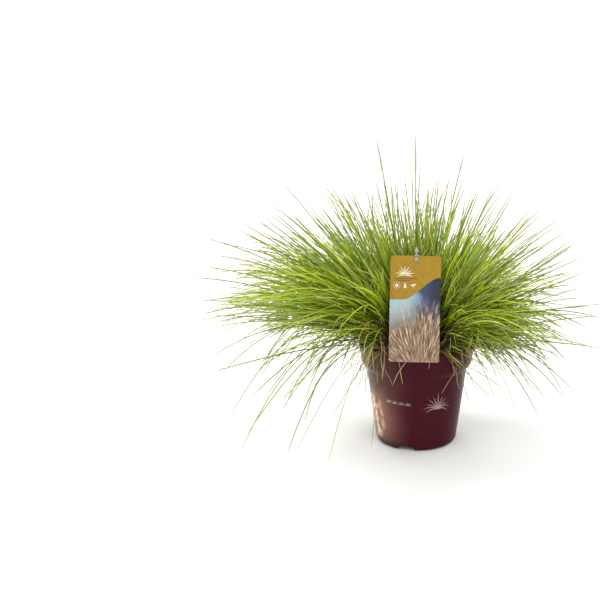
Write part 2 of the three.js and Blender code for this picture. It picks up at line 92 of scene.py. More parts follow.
# How far the pot's outline lies outside and above the foot of its step, the foot of its collar, and its rim
STEP_PROFILE = [(-0.05, -1), (0.3, 0.2), (0.9, 1.2), (1.8, 2.3), (2.9, 3.6), (3.1, 4.1), (4, 5), (4.9, 6.6)]
COLLAR_PROFILE = [(-0.6, -1.2), (-0.15, 0.6), (0.15, 2.4)]
RIM_OUTSIDE = [(-1.0, -4.6), (-0.6, -4.3), (-0.15, -3.9), (0, -3.2), (0, -0.8), (-0.3, -0.2)]
RIM_INSIDE = [(-0.8, 0), (-1.6, 0), (-2.1, -0.4), (-2.3, -1.2)]

# Soil and crown
SOIL_SIDES = 120
SOIL_LEVEL = 102.5
SOIL_GAP = 0.5
SOIL_ROUGHNESS = 0.55
CRUMBS = 900
CRUMB_SIZES = (0.5, 1.7)
CRUMB_FLATNESS = 0.7
HEART_RADIUS = 24.6
HEART_TOP = 121
SKIRT_OUTER = 42
SKIRT_TOP = 114.5
SKIRT_EDGE = 110
THATCH_OUTER = 58.5
THATCH_TOP = 108.5

# Roots, reach and room of the blades; a blade's tilt is measured in degrees from upright
HEART_SPREAD = 50
SKIRT_SPREAD = 116
GOLDEN_ANGLE = radians(137.508)
SPREAD_CENTRE = np.array([0, 0, 106])
UPRIGHT_REACH = (114, 182)
SPREADING_REACH = (98, 212)
SPREADING_TILT = 70
TRAIL_TILT = 80
TRAIL_LOSS = 0.9
UNEVEN_TILT = 35
LEFT_AZIMUTH = radians(-160)
LEFT_SHORTEST_GAIN = 66
LEFT_LONGEST_GAIN = 50
RIGHT_LOSS = 15
HEART_ROOT_RADIUS = 21.5
SKIRT_ROOT_RADII = (28, 39.5)
HEART_ROOTS = (0.5, HEART_ROOT_RADIUS + 2)
SKIRT_ROOTS = (HEART_ROOT_RADIUS + 3, 41)
ROOT_DEPTH = 2.5
LOWEST_TIP = 12
BOX_MARGIN = 1
POT_CLEARANCE = 1.2
STAKE_CLEARANCE = 0.8
KNOB_CLEARANCE = 1.6

# Clumps: how blades of one clump scatter, in degrees for the tilt and radians around the pot
HEART_CLUMPS = 250
SKIRT_CLUMPS = 520
CLUMP_BLADES = 11
CLUMP_SHIFT = 0.1
CLUMP_TURN = 0.2
SHARED_REACH = 0.3
LONG_BLADE_RARITY = ([0, 60], [5.0, 2.4])
LEFT_RARITY_LOSS = 1.1
SHORTEST_SHARE = 0.82
LEFT_SHORTEST_SHARE = 0.1
WILD_SHARE = 0.22
WILDNESS = 2.6
TILT_SCATTER = 6.5
TURN_SCATTER = 0.14
LEAST_LEAN = 0.35
ROOT_TURN = 0.3
ROOT_SCATTER = 4.5
CLUMP_LIFT = 0.02
CLUMP_ARCH = 0.14
ARCH_POWER = 1.6
ARCH_SPREAD = (0.2, 1.5)
CLUMP_SWAY = 14.0

# The share of blades left out, by how many degrees their tips lie below the centre of the spread
LEFT_LOSSES = ([-9, -3, 3], [0, 0.86, 0.99])
RIGHT_LOSSES = ([-12, 4, 12], [0, 0.6, 0.86])
FRONT_LOSSES = ([-16, -4, 6], [0, 0.6, 0.95])
FRONT_RISE = 0.09

# Single blades around the tuft, and long ones that hang down beside the pot
FRINGE_BLADES = 260
FRINGE_SPREAD = 98
FRINGE_GAIN = (0.95, 1.1)
FRINGE_SWAY = 12
TRAIL_BLADES = 64
TRAIL_OUT = (112, 212)
TRAIL_HEIGHTS = (14, 100)
TRAIL_ROOTS = (33, 41)
TRAIL_LIFTS = (34, 60)
TRAIL_SWAY = 16
TRAIL_LEFT_GAIN = 10
TRAIL_SIDEWAYS = (0.55, 0.5)
TRAIL_RIGHT_RISE = 34
TRAIL_RIGHT_SAG = 22

# Looks of the blades' meshes
BLADE_RINGS = 10
TEST_STEPS = np.linspace(0, 1, 33)
TIP_CROWDING = 1.4
TAPER_SHARE = 0.1
ROOT_WIDTH_SHARE = 0.55
SLIMNESS = (0.7, 1.15)
FRONT_SLIMNESS = ([-190, -20], [0.72, 1.0])
SINGLE_TINTS = (0.05, 0.12)
# Painted shade on blades whose tips lie low: the height where it starts, the span over which it grows, and
# how much it takes from the tint from left to right
LOW_TIPS_FROM = 150
LOW_TIPS_SPAN = 70
LOW_TIPS_PAINTED_SHADE = ([-80, 80], [0.3, 0.85])

# Dry strays around the crown, short old leaf bases on the thatch, and a place that nothing blocks
DEAD_BLADES = 560
DEAD_OUT = (66, 122)
DEAD_HEIGHTS = (74, 152)
DEAD_ROOTS = (46, 54)
DEAD_LIFTS = (10, 26)
LEAF_BASES = 1700
BASE_RINGS = 6
BASE_RADII = (24, 57)
BASE_HEIGHTS = ([24, 42, 50, 58], [114, 109, 107, 103.5])
BASE_LENGTHS = (9, 34)
BASE_LEANS = (35, 85)
BASE_LIMITS = (60.0, 76.0)
RIM_INNER_RADIUS = 61.5
FREE_PLACE = (0, 0, 300)

# Blades that come over the rim at the front: azimuth at the rim and at the tip, how far the blade bends
# sideways on its way, height of the tip, and its distance from the pot
GREEN_RIM_BLADES = [
    (-118, -152, 0, 74, 26), (-120, -140, 0, 66, 3), (-69, -30, 4, 68, 22),
    (-68, -42, 2, 70, 8), (-126, -129, 2, 6, 30), (-77, -79, 0, 99, 2),
    (-67, -36, 0, 66, 44), (-66, -28, 0, 72, 58), (-64, -44, 3, 58, 26),
]
DRY_RIM_BLADES = [
    (-121, -143, 0, 75, 15), (-119, -116, -3, 75, 2), (-111, -105, 3, 79, 2),
    (-68, -64, 16, 67, 4), (-60, -52, 0, 88, 4), (-92, -116, 0, 77, 3),
    (-130, -150, 0, 84, 12), (-122, -160, 0, 78, 34), (-120, -150, -3, 62, 24),
]
RIM_SHARE = 0.3
RIM_START_RADIUS = 48
RIM_PASS_HEIGHT = 118.5

# Blades that stand out from the rest: tip x, y, z, and how far the middle rises above a straight line
STANDOUT_BLADES = [
    (-45, 10, 335, 4), (-3, -10, 339, 3), (50, 20, 318, 6), (20, -40, 300, 5),
    (-24, -60, 296, 6), (-160, 30, 296, 8), (80, -20, 282, 6), (70, 60, 281, 8),
    (-90, 60, 280, 6), (-100, -60, 270, 8), (-174, -20, 252, 9), (-214, 60, 230, 14),
    (130, -40, 268, 9), (160, 20, 245, 12), (159, -60, 231, 10), (191, 70, 184, 14),
    (230, 115, 94, 34), (-230, -70, 148, 22), (-229, -40, 98, 32), (157, -60, 64, 30),
    (178, 20, 34, 48), (125, -90, 55, 36), (-214, -22, 20, 62), (-180, -112, 15, 62),
    (-132, -104, 14, 54), (-140, -213, 114, 32), (60, 213, 150, 24), (-70, 205, 60, 48),
]

# Label card and stake
LABEL_WIDTH = 52
LABEL_HEIGHT = 109.5
LABEL_THICKNESS = 0.6
LABEL_CORNER = 2.2
LABEL_HOLE_RADIUS = 2.6
LABEL_HOLE_DROP = 4.2
LABEL_HOLE_OFFSET = 0.9
LABEL_LEFT = -LABEL_HOLE_OFFSET - LABEL_WIDTH / 2
LABEL_LEAN = 10
LABEL_TURN = -0.7
STUD = (-0.6, -48.9, 211.4)
STUD_RADIUS = 1.5
STUD_HEAD_RADIUS = 2.7
STUD_COLLAR_RADIUS = 2.9
STUD_GRIP = 1.1
STAKE_WIDTH = 6
STAKE_THICKNESS = 2.2
STAKE_POINT_HEIGHT = 62
STAKE_SHOULDER_HEIGHT = 76
STAKE_TOP = 216.5
STAKE_BACK = 1.2
STAKE_MIDDLE = STUD[1] + STAKE_BACK + STAKE_THICKNESS / 2
KNOB_RADIUS = 2.3
KNOB_TOP = 224.3

# The space before the card that no blade passes through
LABEL_VIEW_HALF = 29
LABEL_VIEW_LOW = 98
LABEL_VIEW_HIGH = 236
LABEL_VIEW_BACK = -44
BASE_VIEW_BACK = -58

# Prints: how deep a stroke is sunk in, how far it is raised, and azimuth and height of the pot's motifs
PRINT_DEPTH = 0.1
PRINT_HEIGHT = 0.07
THINNEST_STROKE = 0.06
TUFT_PRINT_PLACE = (-64, 50)
SPRIG_PRINT_PLACE = (-124, 56)
SPRIGS = 4
SPRIG_STEP = 7.5
GROUND_STEPS = 7
GROUND_STEP = 4

# Painted highlight on the pot: azimuths where it starts, is full, where its blotches end, and where its wash
# ends
HIGHLIGHT_AZIMUTHS = (-178, -160, -124, -92)

# Camera, measured from the perspective in the photograph
CAMERA_DISTANCE = 750
CAMERA_HEIGHT = 305
CAMERA_PITCH = 10.95
CAMERA_YAW = 2.29
CAMERA_SHIFT = -0.15
FOCAL_PIXELS = 687
FRAME_PIXELS = 600
SENSOR = 36

# Lights: the world's strength, and azimuth, elevation and strength of each soft sun at the side
WORLD_STRENGTH = 1.02
SIDE_SUNS = [(30, 34, 0.8), (120, 34, 0.8), (210, 16, 1.5), (300, 34, 0.35)]
SIDE_SUN_ANGLE = 50
FLOOR_SIZE = 120000


def lerp(a, b, t):
    return a + (b - a) * t


def on_circle(azimuth, radius, height):
    """Points at an azimuth, a distance from the pot's axis and a height."""
    return np.stack([radius * np.cos(azimuth), radius * np.sin(azimuth), height], -1)


def srgb(red, green, blue):
    """A colour as it looks on screen, from 0 to 255, as the linear values that shaders take."""
    parts = [c / 255 for c in (red, green, blue)]
    return tuple(c / 12.92 if c <= 0.04045 else ((c + 0.055) / 1.055) ** 2.4 for c in parts) + (1,)


def configure(thing, **settings):
    for name, value in settings.items():
        setattr(thing, name, value)
    return thing


def add_object(name, data):
    """Puts a mesh, light or camera into the scene."""
    data.name = name
    thing = bpy.data.objects.new(name, data)
    scene.collection.objects.link(thing)
    return thing


def make_camera():
    lens = FOCAL_PIXELS / FRAME_PIXELS * SENSOR
    data = bpy.data.cameras.new("camera")
    camera = add_object("camera", configure(data, sensor_width=SENSOR, lens=lens, shift_x=CAMERA_SHIFT))
    camera.location = (0, -CAMERA_DISTANCE * MM, CAMERA_HEIGHT * MM)
    camera.rotation_euler = (radians(90 - CAMERA_PITCH), 0, radians(CAMERA_YAW))
    scene.camera = camera


# Material helpers; a socket or a node finds its own tree through id_data
def new_material(name):
    material = bpy.data.materials.new(name)
    material.use_nodes = True
    return material, material.node_tree


def feed(node, inputs):
    """Sets each named input of a node, by a link where it is given another node's output."""
    for name, value in inputs.items():
        if isinstance(value, bpy.types.NodeSocket):
            node.id_data.links.new(value, node.inputs[name])
        else:
            node.inputs[name].default_value = value


def coat(tree, **inputs):
    """Feeds the material's own shader, with underscores for the spaces in its inputs' names."""
    feed(tree.nodes["Principled BSDF"], {name.replace("_", " "): value for name, value in inputs.items()})


def add_node(tree, kind, inputs={}, **settings):
    node = configure(tree.nodes.new("ShaderNode" + kind), **settings)
    feed(node, inputs)
    return node


def place_of(tree):
    """A point's place in its piece's own space, in metres."""
    return add_node(tree, "TexCoord").outputs["Object"]


def coordinates(tree):
    return add_node(tree, "SeparateXYZ", {0: place_of(tree)}).outputs


def noise(tree, scale, detail=3.0, stretch=(1, 1, 1)):
    mapping = add_node(tree, "Mapping", {"Vector": place_of(tree), "Scale": stretch})
    inputs = {"Vector": mapping.outputs["Vector"], "Scale": scale, "Detail": detail}
    return add_node(tree, "TexNoise", inputs).outputs["Fac"]


def attribute(tree, name):
    return add_node(tree, "Attribute", attribute_name=name).outputs["Fac"]


def ramp(factor, stops):
    """Runs through colours, each given as its place from 0 to 1 and its red, green and blue on screen."""
    node = add_node(factor.id_data, "ValToRGB", {"Fac": factor})
    elements = node.color_ramp.elements
    while len(elements) < len(stops):
        elements.new(0.5)
    for element, (place, *color) in zip(elements, stops):
        element.position = place
        element.color = srgb(*color)
    return node.outputs["Color"]


def mix_colors(factor, first, second, blend="MIX"):
    """Mixes two colours. A Mix node's sockets for colours can only be told apart by number."""
    tree = (factor if blend == "MIX" else first).id_data
    inputs = {0: factor, 6: first, 7: second}
    return add_node(tree, "Mix", inputs, data_type="RGBA", blend_type=blend).outputs[2]


def math_node(operation, first, second=0.0):
    return add_node(first.id_data, "Math", {0: first, 1: second}, operation=operation).outputs[0]


def times(first, second):
    return math_node("MULTIPLY", first, second)


def plus(first, second):
    return math_node("ADD", first, second)


def fade(value, low, high, to_low=0.0, to_high=1.0, kind="SMOOTHSTEP"):
    """Runs from to_low to to_high while the value runs from low to high: softly, or evenly if LINEAR."""
    inputs = {"Value": value, "From Min": low, "From Max": high, "To Min": to_low, "To Max": to_high}
    return add_node(value.id_data, "MapRange", inputs, interpolation_type=kind).outputs["Result"]


def bump(height, strength, distance):
    inputs = {"Height": height, "Strength": strength, "Distance": distance}
    return add_node(height.id_data, "Bump", inputs).outputs["Normal"]


# Materials
def grass_material():
    """Each blade has its own green, from deep to lime, greyer toward its tip, and a few blades are straw."""
    material, tree = new_material("living_grass")
    along = attribute(tree, "along")
    color = ramp(attribute(tree, "tint"), [
        (0.0, 196, 172, 112), (0.04, 170, 150, 86), (0.06, 130, 138, 64),
        (0.1, 118, 136, 44), (0.12, 88, 112, 6), (0.34, 138, 167, 8),
        (0.62, 182, 211, 10), (0.86, 210, 229, 40), (1.0, 232, 240, 120),
    ])
    # Painted shade: each blade darkens toward its root, where the crown shades it; the brown is partly the
    # leaf bases' own colour
    shade = ramp(along, [
        (0.0, 82, 62, 36), (0.14, 98, 90, 50), (0.36, 164, 166, 122), (0.68, 255, 255, 255),
    ])
    color = mix_colors(1.0, color, shade, "MULTIPLY")
    streaks = ramp(noise(tree, scale=900, detail=2.0), [(0.3, 226, 226, 226), (0.7, 255, 255, 255)])
    color = mix_colors(1.0, color, streaks, "MULTIPLY")
    toward_tip = fade(along, low=0.66, high=1.0, to_high=0.7)
    color = mix_colors(toward_tip, color, srgb(150, 162, 100))
    coat(tree, Base_Color=color, Roughness=0.34, Specular_IOR_Level=0.2)
    return material


def dry_material(name, dark, light):
    """Straw that differs from blade to blade, and darkens toward the root."""
    material, tree = new_material(name)
    along = attribute(tree, "along")
    first = ramp(along, [(0.0, 74, 54, 36), (0.35, *dark), (1.0, *light)])
    second = ramp(along, [(0.0, 96, 74, 46), (0.4, *light), (1.0, 196, 176, 128)])
    coat(tree, Base_Color=mix_colors(attribute(tree, "tint"), first, second), Roughness=0.75)
    return material


def soil_material():
    material, tree = new_material("peat")
    grain = noise(tree, scale=420, detail=6.0)
    color = ramp(grain, [(0.3, 24, 16, 11), (0.55, 52, 36, 25), (0.8, 92, 68, 46)])
    coat(tree, Base_Color=color, Roughness=0.95, Normal=bump(grain, strength=0.7, distance=0.001))
    return material


def painted_highlight_patch(tree):
    """Painted highlight: soft dappled blotches low on the pot's left side, and a faint wash toward the front.
    """
    x, y, z = coordinates(tree)
    azimuth = math_node("ARCTAN2", y, x)
    start, full, blotches_end, film_end = (radians(a) for a in HIGHLIGHT_AZIMUTHS)
    low_part = fade(z, low=0.078, high=0.036)
    above_foot = fade(z, low=0.001, high=0.012)
    around = fade(azimuth, start, full)
    cloud = noise(tree, scale=120, detail=2.0, stretch=(1, 1, 0.8))
    spots = fade(cloud, low=0.34, high=0.7, to_low=0.22)
    patch = times(fade(azimuth, blotches_end, full), spots)
    film = fade(azimuth, film_end, full, to_high=0.16)
    highlight = math_node("MAXIMUM", times(patch, low_part), film)
    return times(times(highlight, around), above_foot)


def pot_material():
    """Dark red plastic with faint clouds, worn streaks, and a pale painted highlight low on its left side."""
    material, tree = new_material("dark_red_plastic")
    clouds = noise(tree, scale=26, detail=4.0)
    color = ramp(clouds, [(0.3, 54, 13, 21), (0.55, 58, 15, 24), (0.8, 64, 20, 27)])
    scuffs = noise(tree, scale=240, detail=5.0, stretch=(1, 1, 4))
    worn = fade(scuffs, 0.66, 0.78, to_high=0.12, kind="LINEAR")
    color = mix_colors(worn, color, srgb(120, 84, 76))
    # Painted highlight: a pale warm colour, in dappled blotches low on the pot's left side
    color = mix_colors(painted_highlight_patch(tree), color, srgb(186, 166, 148))
    rough = fade(noise(tree, scale=60, detail=4.0), 0, 1, to_low=0.24, to_high=0.36, kind="LINEAR")
    fine = bump(noise(tree, scale=1500, detail=2.0), strength=0.12, distance=0.0004)
    coat(tree, Base_Color=color, Roughness=rough, Specular_IOR_Level=0.06, Normal=fine)
    return material


def plain_material(name, color, roughness):
    material, tree = new_material(name)
    speck = noise(tree, scale=1400)
    light = tuple(min(1.0, c * 1.06) for c in color[:3]) + (1,)
    dark = tuple(c * 0.92 for c in color[:3]) + (1,)
    specked = mix_colors(fade(speck, 0.35, 0.65, kind="LINEAR"), dark, light)
    coat(tree, Base_Color=specked, Roughness=roughness, Normal=bump(speck, strength=0.05, distance=0.0002))
    return material


def plume_pattern(tree, x, y):
    """Strands that fan out from a point under the card, like plumes of grass seen from near by."""
    across = math_node("SUBTRACT", x, 0.005)
    up = math_node("SUBTRACT", y, -0.125)
    angle = math_node("ARCTAN2", across, up)
    distance = math_node("SQRT", plus(times(across, across), times(up, up)))
    bend = times(times(distance, 3.5), times(angle, 0.6))
    fan = add_node(tree, "CombineXYZ", {"X": times(plus(angle, bend), 9.0), "Y": times(distance, 26.0)})
    inputs = {"Vector": fan.outputs[0], "Scale": 3.2, "Detail": 5.0, "Roughness": 0.62}
    return add_node(tree, "TexNoise", inputs).outputs["Fac"], distance


def label_material():
    """Generic print: an ochre field over a soft picture of a meadow at dusk. The back is plain."""
    material, tree = new_material("printed_card")
    x, y, out = coordinates(tree)
    drift = times(math_node("SUBTRACT", noise(tree, scale=34, detail=2.0), 0.5), 0.05)
    sky = ramp(fade(plus(x, drift), low=-0.024, high=0.024), [
        (0.0, 148, 172, 178), (0.35, 116, 145, 160), (0.7, 58, 70, 98), (1.0, 32, 35, 56),
    ])
    strands, distance = plume_pattern(tree, x, y)
    plumes = ramp(strands, [
        (0.3, 52, 36, 28), (0.45, 102, 78, 60), (0.56, 150, 126, 102), (0.68, 200, 186, 166),
    ])
    frayed = plus(distance, times(strands, -0.05))
    meadow = fade(frayed, low=0.062, high=0.03)
    picture = mix_colors(meadow, sky, plumes)
    edge = fade(x, low=-0.014, high=0.025, to_low=-0.041, to_high=-0.018)
    field = fade(math_node("SUBTRACT", y, edge), low=-0.0002, high=0.0002)
    ochre = ramp(noise(tree, scale=120), [(0.35, 141, 108, 11), (0.65, 148, 116, 16)])
    front = mix_colors(field, picture, ochre)
    printed = fade(out, low=0.0001, high=0.0002)
    color = mix_colors(printed, srgb(206, 204, 194), front)
    coat(tree, Base_Color=color, Roughness=0.36, Specular_IOR_Level=0.3)
    return material


# Mesh helpers
def place_piece(piece, replaces):
    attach(piece, BODY)
    if replaces:
        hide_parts(*replaces)


def make_object(name, mesh, material, replaces=()):
    piece = add_object(name, mesh)
    mesh.materials.append(material)
    place_piece(piece, replaces)
    return piece


def smooth(mesh, angle=SMOOTH_ANGLE):
    mesh.shade_smooth()
    mesh.set_sharp_from_angle(angle=radians(angle))


def mesh_from(vertices, faces, smooth_angle=None):
    mesh = bpy.data.meshes.new("shape")
    mesh.from_pydata([Vector(v) * MM for v in vertices], [], faces)
    mesh.update()
    if smooth_angle:
        smooth(mesh, smooth_angle)
    return mesh


def turned(outline, sides):
    """A shape turned around +Z from its [radius, height] outline, which starts and ends on the axis."""
    vertices = []
    rings = []
    for radius, height in outline:
        places = sides if radius else 1
        rings.append(list(range(len(vertices), len(vertices) + places)))
        for i in range(places):
            angle = 2 * pi * i / sides
            vertices.append((radius * cos(angle), radius * sin(angle), height))
    faces = []
    for low, high in zip(rings, rings[1:]):
        for i in range(sides):
            j = (i + 1) % sides
            corners = [low[i % len(low)], low[j % len(low)], high[j % len(high)], high[i % len(high)]]
            unique = list(dict.fromkeys(corners))
            if len(unique) > 2:
                faces.append(unique)
    return mesh_from(vertices, faces, SMOOTH_ANGLE)


def prism(first, second):
    """A closed prism between two rings of points; the first ring turns clockwise as seen from the second."""
    count = len(first)
    faces = [list(range(count - 1, -1, -1)), list(range(count, 2 * count))]
    faces += [[i, (i + 1) % count, (i + 1) % count + count, i + count] for i in range(count)]
    return mesh_from(first + second, faces)


def upright_prism(outline, depth):
    """A prism with its outline in X and Z, and its depth along -Y from y = 0."""
    return prism([(x, 0, z) for x, z in outline], [(x, -depth, z) for x, z in outline])


def drill(radius, sides):
    reach = DRILL_REACH
    return add_object("drill", turned([(0, -reach), (radius, -reach), (radius, reach), (0, reach)], sides))


def shares(steps):
    return [i / steps for i in range(steps + 1)]


def arc_points(x, y, radius, start, end, steps):
    """Points around x, y from one angle in degrees to another."""
    angles = [radians(lerp(start, end, t)) for t in shares(steps)]
    return [(x + radius * cos(angle), y + radius * sin(angle)) for angle in angles]


def boolean(piece, cutters, operation="DIFFERENCE"):
    """Cuts or joins other objects into a piece, and removes them."""
    for cutter in cutters:
        cut = piece.modifiers.new("cut", "BOOLEAN")
        configure(cut, operation=operation, solver="EXACT", object=cutter)
    bpy.context.view_layer.update()
    evaluated = piece.evaluated_get(bpy.context.evaluated_depsgraph_get())
    mesh = bpy.data.meshes.new_from_object(evaluated)
    piece.modifiers.clear()
    old = piece.data
    piece.data = mesh
    bpy.data.meshes.remove(old)
    for cutter in cutters:
        bpy.data.objects.remove(cutter)
    smooth(mesh)


# Pot
def pot_inside(inset, floor):
    """From the axis out over the floor and up to the collar, inset from the pot's outside."""
    return [
        (0, floor), (FOOT_RING_OUTER + 2, floor), (FOOT_RADIUS - inset, FOOT_CORNER + 2),
        (STEP_RADIUS - inset, STEP_HEIGHT + 0.5), (COLLAR_RADIUS - inset, COLLAR_HEIGHT + 0.5),
    ]


def pot_outline():
    """From the axis under the pot, up the outside to the rim, and down the inside."""
    profiles = (
        (STEP_RADIUS, STEP_HEIGHT, STEP_PROFILE),
        (COLLAR_RADIUS, COLLAR_HEIGHT, COLLAR_PROFILE),
        (RIM_RADIUS, POT_HEIGHT, RIM_OUTSIDE + RIM_INSIDE),
    )
    return [
        (0, FLOOR_BOTTOM), (FOOT_RING_INNER - 1.5, FLOOR_BOTTOM),
        (FOOT_RING_INNER, 0.3), (FOOT_RING_INNER + 0.3, 0),
        *arc_points(FOOT_RING_OUTER, FOOT_CORNER, FOOT_CORNER, -90, -5, 10),
        *[(radius + r, height + z) for radius, height, profile in profiles for r, z in profile],
        *reversed(pot_inside(WALL, FLOOR_TOP)),
    ]


def foot_notch(number):
    foot = NOTCH_WIDTH / 2
    top = NOTCH_TOP_WIDTH / 2
    outline = [(-foot, -1), (foot, -1), (top, NOTCH_HEIGHT), (-top, NOTCH_HEIGHT)]
    notch = add_object("notch", upright_prism(outline, NOTCH_DEPTH))
    turn = Matrix.Rotation(radians(NOTCH_AZIMUTH + 90 + 360 / NOTCHES * number), 4, "Z")
    notch.matrix_world = turn @ Matrix.Translation((0, -(FOOT_RING_INNER - 3) * MM, 0))
    return notch


def drain_hole(number):
    hole = drill(DRAIN_RADIUS, 24)
    place = on_circle(2 * pi * number / DRAIN_HOLES, DRAIN_CIRCLE, FLOOR_BOTTOM + WALL / 2)
    hole.location = Vector(place) * MM
    return hole


def make_pot(material):
    pot = make_object("nursery_pot", turned(pot_outline(), POT_SIDES), material, ["pot"])
    notches = [foot_notch(i) for i in range(NOTCHES)]
    boolean(pot, notches + [drain_hole(i) for i in range(DRAIN_HOLES)])


# Soil
def make_soil(material):
    rng = np.random.default_rng(5)
    inset = WALL + SOIL_GAP
    rings = (59.5, 57, 54, 51, 48, 45, 42, 38, 34, 30, 25, 20, 15, 10, 5, 0)
    outline = pot_inside(inset, FLOOR_TOP + 0.4) + [(COLLAR_RADIUS - inset + 0.5, SOIL_LEVEL - 0.8)]
    mesh = turned(outline + [(r, SOIL_LEVEL) for r in rings], SOIL_SIDES)
    for vertex in mesh.vertices:
        if vertex.co.z > (SOIL_LEVEL - 0.5) * MM:
            vertex.co.z += float(rng.normal(0, SOIL_ROUGHNESS)) * MM
    make_object("potting_mix", mesh, material, ["potting_soil"])


def make_crumbs(material):
    """Small lumps of peat on the soil, each a squashed and dented ball."""
    rng = np.random.default_rng(11)
    ball = np.array([(1, 0, 0), (-1, 0, 0), (0, 1, 0), (0, -1, 0), (0, 0, 1), (0, 0, -1)])
    edges = [(0, 2), (2, 1), (1, 3), (3, 0)]
    ball_faces = [(a, b, 4) for a, b in edges] + [(b, a, 5) for a, b in edges]
    vertices = []
    faces = []
    for _ in range(CRUMBS):
        radius = rng.uniform(36, 59.5)
        angle = rng.uniform(0, 2 * pi)
        size = rng.uniform(*CRUMB_SIZES)
        centre = on_circle(angle, radius, SOIL_LEVEL + 0.4 * size)
        faces += [tuple(len(vertices) + i for i in face) for face in ball_faces]
        for corner in ball:
            dent = rng.uniform(0.6, 1.2)
            vertices.append(tuple(centre + corner * size * dent * np.array([1, 1, CRUMB_FLATNESS])))
    make_object("peat_crumbs", mesh_from(vertices, faces, 80), material)


# Where blades grow
def from_axis(points):
    return np.hypot(points[..., 0], points[..., 1])


def from_stake(points):
    return np.hypot(points[..., 0] - STUD[0], points[..., 1] - STAKE_MIDDLE)


def crown_height(radius):
    inner = lerp(HEART_TOP, SKIRT_TOP, (radius / HEART_RADIUS) ** 2)
    outward = np.clip((radius - HEART_RADIUS) / (SKIRT_OUTER - HEART_RADIUS), 0, 1)
    outer = lerp(SKIRT_TOP, SKIRT_EDGE, outward ** 2)
    return np.where(radius < HEART_RADIUS, inner, outer)


def root_radius(tilt):
    heart = HEART_ROOT_RADIUS * (np.clip(tilt, 0, HEART_SPREAD) / HEART_SPREAD) ** 0.8
    outward = (tilt - HEART_SPREAD) / (SKIRT_SPREAD - HEART_SPREAD)
    return np.where(tilt < HEART_SPREAD, heart, lerp(*SKIRT_ROOT_RADII, outward))


def root_points(azimuth, radius):
    return on_circle(azimuth, radius, crown_height(radius) - ROOT_DEPTH)


def direction_points(tilt, azimuth):
    lean = np.radians(tilt)
    return on_circle(azimuth, np.sin(lean), np.cos(lean))


def tip_points(tilt, azimuth, reach):
    """Where blades end, kept inside the frame's box."""
    tips = direction_points(tilt, azimuth) * reach[:, None] + SPREAD_CENTRE
    return np.clip(tips, BOX_LOW + BOX_MARGIN, BOX_HIGH - BOX_MARGIN)


def golden_azimuths(rng, count, shift):
    """Azimuths that fill a circle evenly, each shifted a little."""
    return np.arange(count) * GOLDEN_ANGLE + rng.uniform(-shift, shift, count)


def even_spread(count, tilt_from, tilt_to):
    """Tilts that spread blades evenly over the part of a sphere between two tilts."""
    low, high = cos(radians(tilt_from)), cos(radians(tilt_to))
    return np.degrees(np.arccos(lerp(low, high, (np.arange(count) + 0.5) / count)))


def leftward(tilt, azimuth):
    """From 1 for a blade that spreads to the left, through 0 for an upright one, to -1 on the right."""
    return np.clip((tilt - UNEVEN_TILT) / UNEVEN_TILT, 0, 1) * np.cos(azimuth - LEFT_AZIMUTH)


def reach_range(tilt, azimuth):
    spreading = np.minimum(1, tilt / SPREADING_TILT)
    shortest = lerp(UPRIGHT_REACH[0], SPREADING_REACH[0], spreading)
    longest = lerp(UPRIGHT_REACH[1], SPREADING_REACH[1], spreading)
    to_left = leftward(tilt, azimuth)
    shortest = shortest + LEFT_SHORTEST_GAIN * np.maximum(0, to_left)
    longest = longest + np.where(to_left > 0, LEFT_LONGEST_GAIN, RIGHT_LOSS) * to_left
    return shortest, longest - np.maximum(0, tilt - TRAIL_TILT) * TRAIL_LOSS


def steps_along(rings):
    """Places along a blade from 0 at its root to 1 at its tip, closer together near the tip."""
    return 1 - (1 - np.linspace(0, 1, rings)) ** TIP_CROWDING


def blade_paths(roots, tips, lifts, sway, s):
    """Points on each blade's curve, at the places s: an arch of the given lift, with a sideways sway."""
    middles = (roots + tips) / 2
    middles[:, 2] += 2 * lifts
    s = s[None, :, None]
    points = roots[:, None] * (1 - s) ** 2 + 2 * middles[:, None] * s * (1 - s) + tips[:, None] * s ** 2
    chord = tips - roots
    side = np.stack([-chord[:, 1], chord[:, 0], np.zeros(len(chord))], -1)
    side /= np.linalg.norm(side, axis=1, keepdims=True) + 1e-9
    return points + side[:, None] * sway[:, None, None] * np.sin(np.pi * s) * s


def is_blocked(points):
    """Which paths leave the box, or pass through the pot, the thatch, the stake or the view of the label."""
    x, y, z = np.moveaxis(points, -1, 0)
    radius = from_axis(points)
    blocked = (z < LOWEST_TIP) | (points < BOX_LOW).any(-1) | (points > BOX_HIGH).any(-1)
    wall = np.select([z > COLLAR_HEIGHT, z > STEP_HEIGHT], [RIM_RADIUS, COLLAR_RADIUS], STEP_RADIUS)
    over_rim = (radius > THATCH_OUTER - 1) & (radius < wall + POT_CLEARANCE)
    blocked |= over_rim & (z < POT_HEIGHT + POT_CLEARANCE)
    blocked |= (radius > SKIRT_OUTER) & (radius < RIM_RADIUS) & (z < THATCH_TOP)
    blocked |= (from_stake(points) < STAKE_WIDTH / 2 + STAKE_CLEARANCE) & (z < KNOB_TOP + KNOB_CLEARANCE)
    before = (y < LABEL_VIEW_BACK) & (np.abs(x) < LABEL_VIEW_HALF)
    blocked |= before & (z > LABEL_VIEW_LOW) & (z < LABEL_VIEW_HIGH)
    return blocked[:, 1:].any(axis=1)


